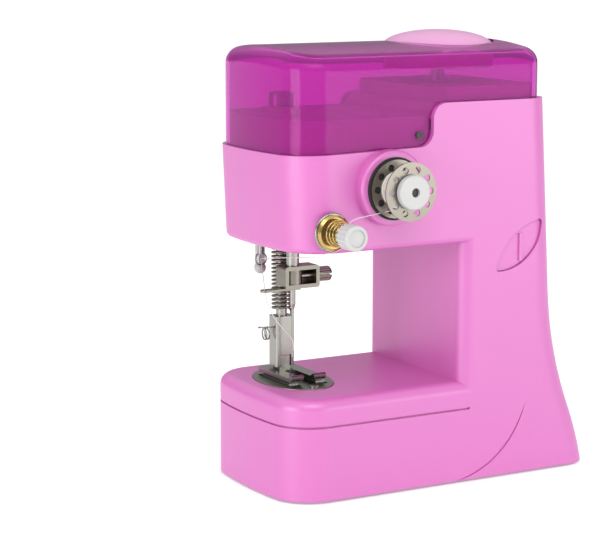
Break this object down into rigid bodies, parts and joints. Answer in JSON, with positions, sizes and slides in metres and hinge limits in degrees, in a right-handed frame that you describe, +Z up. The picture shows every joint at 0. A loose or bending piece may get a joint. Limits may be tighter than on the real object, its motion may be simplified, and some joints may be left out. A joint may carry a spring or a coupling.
{
  "type": "sewing machine",
  "caption": "Small craft sewing machine with a round-ended bed, a flared column, a clear stepped cover, a front bobbin and a spring-loaded presser foot.",
  "frame": {"origin": "middle of the base in plan, at the underside of the rubber feet", "axes": "+Z up, +X from the needle end to the column, -Y towards the user"},
  "size_m": [0.1294, 0.0836, 0.1617],
  "materials": {
    "body_pink": "gloss",
    "cover_clear": "clear magenta plastic",
    "white_plastic": "satin",
    "black_plastic": "matte",
    "grey_plastic": "matte",
    "steel": "bright",
    "chrome": "polished",
    "brass": "polished",
    "rubber": "matte",
    "thread": "matte",
    "felt": "matte"
  },
  "bodies": {
    "housing": {"front_shell": "body_pink", "rear_shell": "body_pink", "top_cover": "cover_clear", "cover_screws": "steel", "shell_screws": "steel", "base_plate": "grey_plastic", "rubber_feet": "rubber", "battery_cells": "grey_plastic", "battery_contacts": "brass", "needle_plate": "chrome", "plate_screws": "steel", "arm_bearings": "grey_plastic", "bed_bearings": "grey_plastic", "column_shelves": "grey_plastic", "shaft_bushes": "brass", "bar_guide": "grey_plastic", "bar_bushes": "chrome", "deck_ring": "black_plastic", "motor": "steel", "presser_spring": "steel", "lifter_pin": "steel", "thread_eye": "white_plastic", "bobbin_spindle": "white_plastic", "felt_ring": "felt", "spool_cap": "white_plastic", "tension_stud": "steel", "tension_disc": "chrome", "tension_dish": "brass", "tension_spring": "brass", "power_switch": "black_plastic"},
    "main_drive": {"main_shaft": "steel", "hand_wheel": "body_pink", "drive_gear": "white_plastic", "upper_mitre": "white_plastic", "lower_mitre": "white_plastic"},
    "arm_drive": {"arm_shaft": "steel", "arm_mitre": "white_plastic", "crank_disc": "steel"},
    "low_drive": {"low_shaft": "steel", "low_shaft_mitre": "white_plastic", "looper": "steel"},
    "motor_drive": {"motor_pinion": "brass"},
    "needle_slider": {"needle_bar": "chrome", "needle_yoke": "steel", "needle_clamp": "chrome", "needle": "steel"},
    "clamp_thumbscrew": {"clamp_screw": "chrome"},
    "feed": {"feed_dog": "steel"},
    "lifter": {"presser_lifter": "grey_plastic"},
    "presser": {"presser_bar": "steel", "lift_bracket": "steel", "foot_holder": "chrome", "presser_foot": "chrome", "foot_hook": "steel"},
    "thread_bobbin": {"bobbin": "chrome", "bobbin_thread": "thread"},
    "tension_dial": {"tension_knob": "white_plastic"},
    "button": {"power_button": "body_pink"},
    "door": {"battery_door": "grey_plastic"}
  },
  "joints": [
    {"name": "hand_wheel_spin", "type": "hinge", "parent": "housing", "child": "main_drive", "pos_m": [0.0164, 0.0109, 0.08], "axis": [0, 0, 1], "continuous": true},
    {"name": "arm_shaft_spin", "type": "hinge", "parent": "housing", "child": "arm_drive", "pos_m": [-0.01, 0.0109, 0.1071], "axis": [1, 0, 0], "continuous": true},
    {"name": "low_shaft_spin", "type": "hinge", "parent": "housing", "child": "low_drive", "pos_m": [-0.01, 0.0109, 0.027], "axis": [1, 0, 0], "continuous": true},
    {"name": "motor_spin", "type": "hinge", "parent": "housing", "child": "motor_drive", "pos_m": [0.03233, 0.02427, 0.1167], "axis": [0, 0, 1], "continuous": true},
    {"name": "needle_slide", "type": "slide", "parent": "housing", "child": "needle_slider", "axis": [0, 0, 1], "range_m": [-0.009, 0.003]},
    {"name": "clamp_screw_turn", "type": "hinge", "parent": "needle_slider", "child": "clamp_thumbscrew", "pos_m": [-0.034, 0.0109, 0.075], "axis": [1, 0, 0], "range_deg": [-90, 90]},
    {"name": "feed_slide", "type": "slide", "parent": "housing", "child": "feed", "axis": [0, 1, 0], "range_m": [-0.0015, 0.0005]},
    {"name": "lifter_turn", "type": "hinge", "parent": "housing", "child": "lifter", "pos_m": [-0.0469, 0.0308, 0.0909], "axis": [0, -1, 0], "range_deg": [0, 55]},
    {"name": "presser_slide", "type": "slide", "parent": "housing", "child": "presser", "axis": [0, 0, 1], "range_m": [0, 0.004], "deforming": ["presser_spring"]},
    {"name": "bobbin_spin", "type": "hinge", "parent": "housing", "child": "thread_bobbin", "pos_m": [-0.0254, -0.032, 0.1097], "axis": [0, 1, 0], "continuous": true},
    {"name": "tension_turn", "type": "hinge", "parent": "housing", "child": "tension_dial", "pos_m": [-0.0489, -0.037, 0.0958], "axis": [0, 1, 0], "range_deg": [-150, 150]},
    {"name": "button_press", "type": "slide", "parent": "housing", "child": "button", "axis": [0, 1, 0], "range_m": [0, 0.0012], "stiffness_N_per_m": 400},
    {"name": "battery_door_drop", "type": "slide", "parent": "housing", "child": "door", "axis": [0, 0, -1], "range_m": [0, 0.015]}
  ],
  "couplings": [
    {"joint": "arm_shaft_spin", "follows": "hand_wheel_spin", "ratio": -1},
    {"joint": "low_shaft_spin", "follows": "hand_wheel_spin", "ratio": 1},
    {"joint": "motor_spin", "follows": "hand_wheel_spin", "ratio": -4.2},
    {"joint": "feed_slide", "follows": "needle_slide", "ratio": 0.16667},
    {"joint": "lifter_turn", "follows": "presser_slide", "rad_per_m": 239.98}
  ]
}
